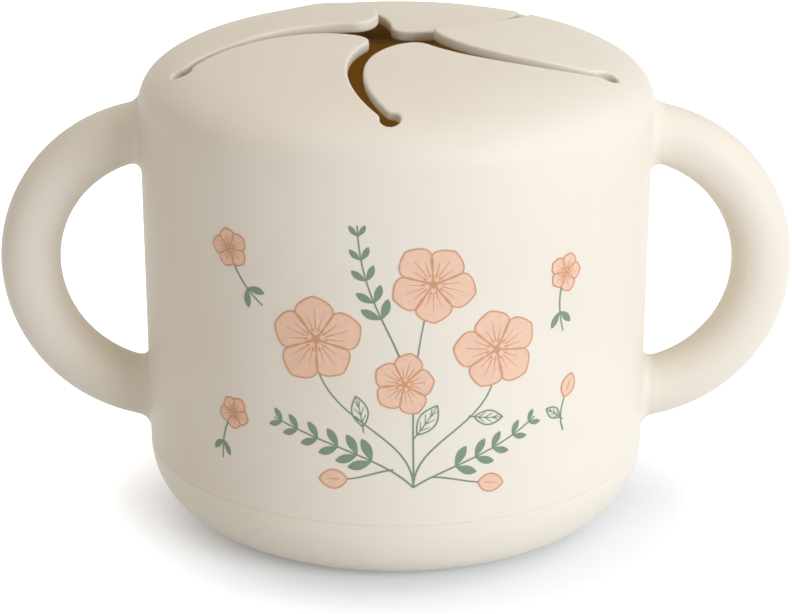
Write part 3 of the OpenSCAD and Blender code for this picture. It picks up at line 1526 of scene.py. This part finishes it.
@dataclass
class WallPrint:
    """The print on the cover's front, laid on the wall in thin coats, one piece for each ink.

    Proud is each ink's distance in front of the wall, and step sets shapes of one ink apart.
    """

    form: BodyForm
    line_w: float = 0.24
    rim_share: float = 1.1
    vein_share: float = 0.8
    stem_w: float = 0.34
    stem_points: int = 40
    sprig_deg: float = 48.0
    sprig_taper: float = 0.4
    sepal_deg: float = 26.0
    petals: int = 5
    uneven: float = 0.06
    uneven_pace: float = 2.4
    veins: tuple[Spot, ...] = ((-0.16, 0.6), (0.0, 0.72), (0.16, 0.58))
    eye_share: float = 0.11
    dot_share: float = 0.03
    dot_ring_share: float = 0.24
    proud: tuple[float, float, float] = (0.03, 0.06, 0.09)
    step: float = 0.004
    steps: int = 5
    depth: float = 0.12
    weld: float = 0.0004
    coats: dict[Ink, list[Points]] = field(default_factory=lambda: {ink: [] for ink in Ink})

    def _on_wall(self, flat: Points, proud: float) -> Points:
        """Lays flat points on the wall.

        Args:
            flat: Array with arc length and height last.
            proud: Distance in front of the wall.

        Returns:
            The same array with x, y, z last.
        """
        r = self.form.wall_r(flat[..., 1])
        a = flat[..., 0] / self.form.wall_r(self.form.height / 2)
        return np.stack([(r + proud) * np.sin(a), -(r + proud) * np.cos(a), flat[..., 1]], axis=-1)

    def _coat(self, ink: Ink, flat: Points) -> None:
        """Adds one shape to an ink, facing out: leaves lie lowest, then petals, then lines.

        Args:
            ink: Ink of the shape.
            flat: Array with arc length and height last.
        """
        across, along = flat[:-1, 1:] - flat[:-1, :-1], flat[1:, :-1] - flat[:-1, :-1]
        if (across[..., 0] * along[..., 1] - across[..., 1] * along[..., 0]).sum() < 0:
            flat = flat[:, ::-1]
        apart = self.step * (len(self.coats[ink]) % self.steps)
        proud = self.proud[list(Ink).index(ink)] + apart
        self.coats[ink].append(self._on_wall(flat, proud))

    def _line(self, ink: Ink, line: Points, width: float, taper: float = 0.0) -> None:
        """Draws a line.

        Args:
            ink: Ink of the line.
            line: Rows of arc length and height.
            width: Width of the line.
            taper: Share of its width that it loses towards its end.
        """
        way = np.gradient(line, axis=0)
        way /= np.linalg.norm(way, axis=1)[:, None]
        half = width / 2 * (1 - taper * np.linspace(0, 1, len(line)))[:, None]
        side = np.column_stack([-way[:, 1], way[:, 0]]) * half
        self._coat(ink, np.stack([line - side, line + side]))

    def _blade(self, ink: Ink, blade: Blade, outlined: bool = True) -> None:
        """Fills a shape.

        Args:
            ink: Ink of the shape.
            blade: The shape.
            outlined: Whether its rim is drawn too.
        """
        self._coat(ink, blade.table(rows=12, columns=7))
        if outlined:
            edge = Ink.LINE if ink is Ink.PETAL else ink
            self._line(edge, blade.rim(count=18), self.line_w)

    def blossom(self, spot: Spot, size: float, turn: float) -> None:
        """Draws a front view of a blossom whose petals differ a little in length.

        Args:
            spot: Its middle.
            size: Length of a petal.
            turn: Heading of its first petal, in degrees.
        """
        apart = 360 / self.petals
        share = np.linspace(0.3, 1, 10)
        for k in range(self.petals):
            heading = turn + apart * k
            grow = size * (1 + self.uneven * math.sin(self.uneven_pace * k + turn))
            petal = Blade(
                start=spot,
                heading=heading,
                length=grow,
                half=0.43 * size,
                curl=0.03 * size,
                fullness=1.6,
                blunt=0.8,
                tip_notch=0.12 * size,
            )
            self._blade(Ink.PETAL, petal)
            for bend, reach in self.veins:
                way, curl = heading + bend * 90, bend * size * 0.3
                vein = Blade(spot, way, grow * reach, half=0, curl=curl).axis(share)
                self._line(Ink.LINE, vein, self.line_w * self.vein_share, taper=0.7)
        self._dot(spot, size * self.eye_share)
        for k in range(2 * self.petals):
            way, _ = headings(turn + apart / 2 * k + apart / 4)
            self._dot(spot + size * self.dot_ring_share * way, size * self.dot_share)

    def _dot(self, spot: Spot | Points, radius: float) -> None:
        """Draws a round dot with the line ink."""
        disc = Blade((spot[0] - radius, spot[1]), 0, 2 * radius, radius, fullness=1.0, blunt=1.0)
        self._coat(Ink.LINE, disc.table(rows=9, columns=5))

    def bud(self, spot: Spot, size: float, heading: float) -> None:
        """Draws a closed bud with two sepals.

        Args:
            spot: Its foot.
            size: Its length.
            heading: Its direction in degrees.
        """
        closed = Blade(spot, heading, size, half=size * 0.36, fullness=0.95, blunt=0.7)
        self._blade(Ink.PETAL, closed)
        fold = Blade(spot, heading, size * 0.8, half=0).axis(np.linspace(0.35, 1, 8))
        self._line(Ink.LINE, fold, self.line_w * self.vein_share, taper=0.6)
        for side in (-1, 1):
            turn = heading + self.sepal_deg * side
            sepal = Blade(spot, turn, size * 0.55, half=size * 0.12, curl=-0.3 * side)
            self._blade(Ink.LEAF, sepal, outlined=False)

    def stem(self, *points: Spot | Points) -> Points:
        """Draws a stem.

        Args:
            points: Four points that draw its cubic curve.

        Returns:
            The rows of its line.
        """
        a, b, c, d = (np.array(p, float) for p in points)
        line = bezier(a, b, c, d, np.linspace(0, 1, self.stem_points))
        self._line(Ink.LEAF, line, self.stem_w, taper=0.25)
        return line

    def sprig(self, line: Points, first: float, last: float, pairs: int, size: float) -> None:
        """Sets pairs of small leaves along a line, smaller towards its end.

        Args:
            line: The stem's line.
            first: Share of the line where the first pair stands.
            last: Share where the last pair stands.
            pairs: Number of pairs.
            size: Length of the largest leaf.
        """
        for k, share in enumerate(np.linspace(first, last, pairs)):
            at = int(share * (len(line) - 1))
            way = line[min(at + 1, len(line) - 1)] - line[at - 1]
            heading = math.degrees(math.atan2(way[1], way[0]))
            length = size * (1 - self.sprig_taper * k / max(1, pairs - 1))
            for side in (-1, 1):
                turn = heading + self.sprig_deg * side
                leaf = Blade(tuple(line[at]), turn, length, half=length * 0.2, curl=-0.5 * side)
                self._blade(Ink.LEAF, leaf, outlined=False)

    def leaf(self, spot: Spot, heading: float, size: float) -> None:
        """Draws a larger leaf: its rim, its rib and its veins, with the wall showing between.

        Args:
            spot: Its foot.
            heading: Its direction in degrees.
            size: Its length.
        """
        blade = Blade(
            spot, heading, size, half=size * 0.25, curl=0.08 * size, fullness=1.0, blunt=0.9
        )
        self._line(Ink.LEAF, blade.rim(count=20), self.line_w * self.rim_share)
        self._line(Ink.LEAF, blade.axis(np.linspace(-0.2, 0.95, 14)), self.line_w, taper=0.5)
        table = blade.table(rows=13, columns=7)
        for row in (4, 6, 8):
            for column in (1, 5):
                ends = np.stack([table[row - 1, 3], table[row + 1, column]])
                self._line(Ink.LEAF, ends, self.line_w * self.vein_share, taper=0.4)

    def posy(self, spot: Spot, size: float, heading: float) -> None:
        """Draws a small blossom with a short stem and a pair of leaves.

        Args:
            spot: Its middle.
            size: Length of a petal.
            heading: Direction of its stem, in degrees.
        """
        way, side = headings(heading)
        runs = ((0.6, 0.0), (1.4, 0.1), (2.2, 0.5), (2.9, 1.1))
        line = self.stem(*(np.array(spot) + size * (far * way + off * side) for far, off in runs))
        self.sprig(line, first=0.6, last=0.6, pairs=1, size=size * 0.95)
        self.blossom(spot, size, heading + 180 / self.petals)

    def _draw(self) -> None:
        """Draws the bunch and the small pieces around it."""
        foot = (3.0, 20.5)
        self.stem(foot, (3.0, 30.0), (-10.0, 32.0), (-13.2, 41.0))
        self.stem(foot, (3.2, 30.0), (2.0, 38.0), (5.0, 52.0))
        self.stem(foot, (3.0, 29.0), (15.0, 31.0), (16.8, 39.0))
        self.sprig(self.stem(foot, (-2, 26), (-12, 28), (-21.5, 31.5)), 0.36, 0.97, 6, 4.4)
        self.sprig(self.stem(foot, (8, 24), (17, 25.5), (25, 31)), 0.4, 0.97, 5, 4.0)
        self.sprig(self.stem((1.4, 42), (-1, 50), (-6, 55), (-6.4, 67.5)), 0.42, 0.97, 5, 3.8)
        self.leaf((3.6, 30.2), 52, 6.2)
        self.leaf((-5.6, 31.6), 98, 5.6)
        self.leaf((13.5, 32.8), 348, 5.2)
        self.blossom((-13.6, 46.8), 7.8, 20)
        self.blossom((6.2, 57.2), 7.1, 55)
        self.blossom((17.4, 44.6), 7.3, 100)
        self.blossom((1.4, 39.4), 5.4, 5)
        self.stem((-0.4, 23.8), (-3, 23.6), (-6, 22), (-8.6, 21.8))
        self.bud((-8.4, 21.8), 4.8, 184)
        self.stem((6.2, 22.3), (9, 22.2), (12, 21), (14.6, 20.6))
        self.bud((14.4, 20.6), 4.6, 352)
        self.posy((-30.0, 60.5), 3.6, 285)
        self.posy((31.0, 56.0), 3.4, 248)
        self.posy((-30.0, 30.5), 3.1, 232)
        self.stem((31.4, 27.0), (30.4, 29), (30.6, 31), (31.6, 33.4))
        self.bud((31.5, 33.2), 4.2, 68)
        self.leaf((30.6, 29.6), 140, 3.8)

    def build(self) -> list[Obj]:
        """Makes one piece for each ink.

        Returns:
            The new pieces.
        """
        self._draw()
        pieces = []
        for ink in Ink:
            name = f"print_{ink.name.lower()}"
            shapes = [grid_piece(name, table) for table in self.coats[ink]]
            pick_only(*shapes)
            bpy.ops.object.join()
            coat = shapes[0]
            coat.name = name
            in_edit_mode(coat, lambda: bpy.ops.mesh.remove_doubles(threshold=self.weld * MM))
            apply_modifier(coat, "SOLIDIFY", thickness=self.depth * MM, offset=-1.0)
            wear(coat, ink.value.material())
            smooth(coat, degrees=30)
            pieces.append(coat)
        return pieces

    def attach(self, pieces: Sequence[Obj]) -> None:
        """Lets the print ride on the cover.

        Args:
            pieces: One piece for each ink.
        """
        for piece in pieces:
            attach(piece, Body.COVER.value)
            LOG.info("%s: %d faces", piece.name, len(piece.data.polygons))


# ---- Studio ----


@dataclass(frozen=True)
class SoftLamp:
    """One area lamp, aimed at the middle of the container."""

    name: str
    place: tuple[float, float, float]
    size: float
    power: float
    tint: tuple[float, float, float] = (1.0, 1.0, 1.0)

    def hang(self, aim: Vector) -> None:
        """Adds the lamp to the scene.

        Args:
            aim: Point that it looks at, in metres.
        """
        bpy.ops.object.light_add(type="AREA", location=self.place)
        lamp = bpy.context.active_object
        lamp.name = self.name
        lamp.data.shape = "DISK"
        lamp.data.size = self.size
        lamp.data.energy = self.power
        lamp.data.color = self.tint
        lamp.rotation_euler = (aim - Vector(self.place)).to_track_quat("-Z", "Y").to_euler()


@dataclass
class Studio:
    """Pale floor, white surroundings, soft lamps and the camera of the photograph."""

    floor_half: float = 3.0
    floor_drop: float = 0.00002
    sky: float = 0.43
    sky_tint: Colour = (1.0, 0.9, 0.79, 1.0)
    focal_px: float = 2981.79
    frame_px: float = 792.0
    sensor_mm: float = 36.0
    eye: tuple[float, float, float] = (0.0, -0.51167, 0.22267)
    pitch_down: float = 0.3484
    roll: float = 0.0013
    aim: tuple[float, float, float] = (0.0, 0.0, 0.045)
    lamps: tuple[SoftLamp, ...] = (
        SoftLamp("key_right", (0.85, -0.9, 0.4), 0.8, 9.9, (0.82, 0.89, 1.0)),
        SoftLamp("high_right", (0.9, 0.15, 0.95), 0.8, 2.6, (0.86, 0.91, 1.0)),
        SoftLamp("top_fill", (0.0, 0.05, 1.25), 1.2, 3.0, (0.98, 1.0, 0.96)),
    )

    def set_up(self) -> None:
        """Makes the floor, the world, the lamps and the camera."""
        self._floor()
        self._world()
        for lamp in self.lamps:
            lamp.hang(Vector(self.aim))
        self._camera()
        bpy.context.scene.view_settings.view_transform = "Standard"

    def _floor(self) -> None:
        """Adds the floor, just under the standing ring."""
        bpy.ops.object.select_all(action="DESELECT")
        place = (0, 0, -self.floor_drop)
        bpy.ops.mesh.primitive_plane_add(size=2 * self.floor_half, location=place)
        floor = bpy.context.active_object
        floor.name = "floor"
        floor.data.materials.append(FloorFinish().material())

    def _world(self) -> None:
        """Lights the object softly from all round and shows white behind it."""
        world = bpy.data.worlds.new("studio_world")
        bpy.context.scene.world = world
        world.use_nodes = True
        tree = world.node_tree
        tree.nodes.clear()
        output = tree.nodes.new("ShaderNodeOutputWorld")
        glow, white = (tree.nodes.new("ShaderNodeBackground") for _ in range(2))
        for node, tint, strength in ((glow, self.sky_tint, self.sky), (white, (1, 1, 1, 1), 1.0)):
            node.inputs["Color"].default_value = tint
            node.inputs["Strength"].default_value = strength
        mix_by_ray(tree, glow.outputs[0], white.outputs[0], output.inputs["Surface"])

    def _camera(self) -> None:
        """Adds the camera at the photograph's viewing angle."""
        bpy.ops.object.camera_add(location=self.eye)
        camera = bpy.context.active_object
        camera.name = "photo_camera"
        camera.data.sensor_width = self.sensor_mm
        camera.data.sensor_fit = "HORIZONTAL"
        camera.data.lens = self.focal_px / self.frame_px * self.sensor_mm
        camera.data.dof.use_dof = False
        tilt = Matrix.Rotation(math.pi / 2 - self.pitch_down, 4, "X")
        camera.matrix_world = (
            Matrix.Translation(self.eye) @ tilt @ Matrix.Rotation(self.roll, 4, "Z")
        )
        bpy.context.scene.camera = camera


def main() -> None:
    """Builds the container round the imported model."""
    logging.basicConfig(level=logging.INFO, format="%(name)s: %(message)s")
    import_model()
    silicone = SILICONE.material()
    form, slit = BodyForm(), SlitForm()
    cover = CoverShell(form, slit, silicone)
    cover.attach(cover.build())
    for side in (-1, 1):
        handle = LoopHandle(form, silicone, side)
        handle.attach(handle.build())
    cup = SnackCup(form, CUP_PLASTIC.material(), CUP_INSIDE_PAINTED_GLOW.material())
    cup.attach(cup.build())
    flowers = WallPrint(form)
    flowers.attach(flowers.build())
    Studio().set_up()


if __name__ == "__main__":
    main()
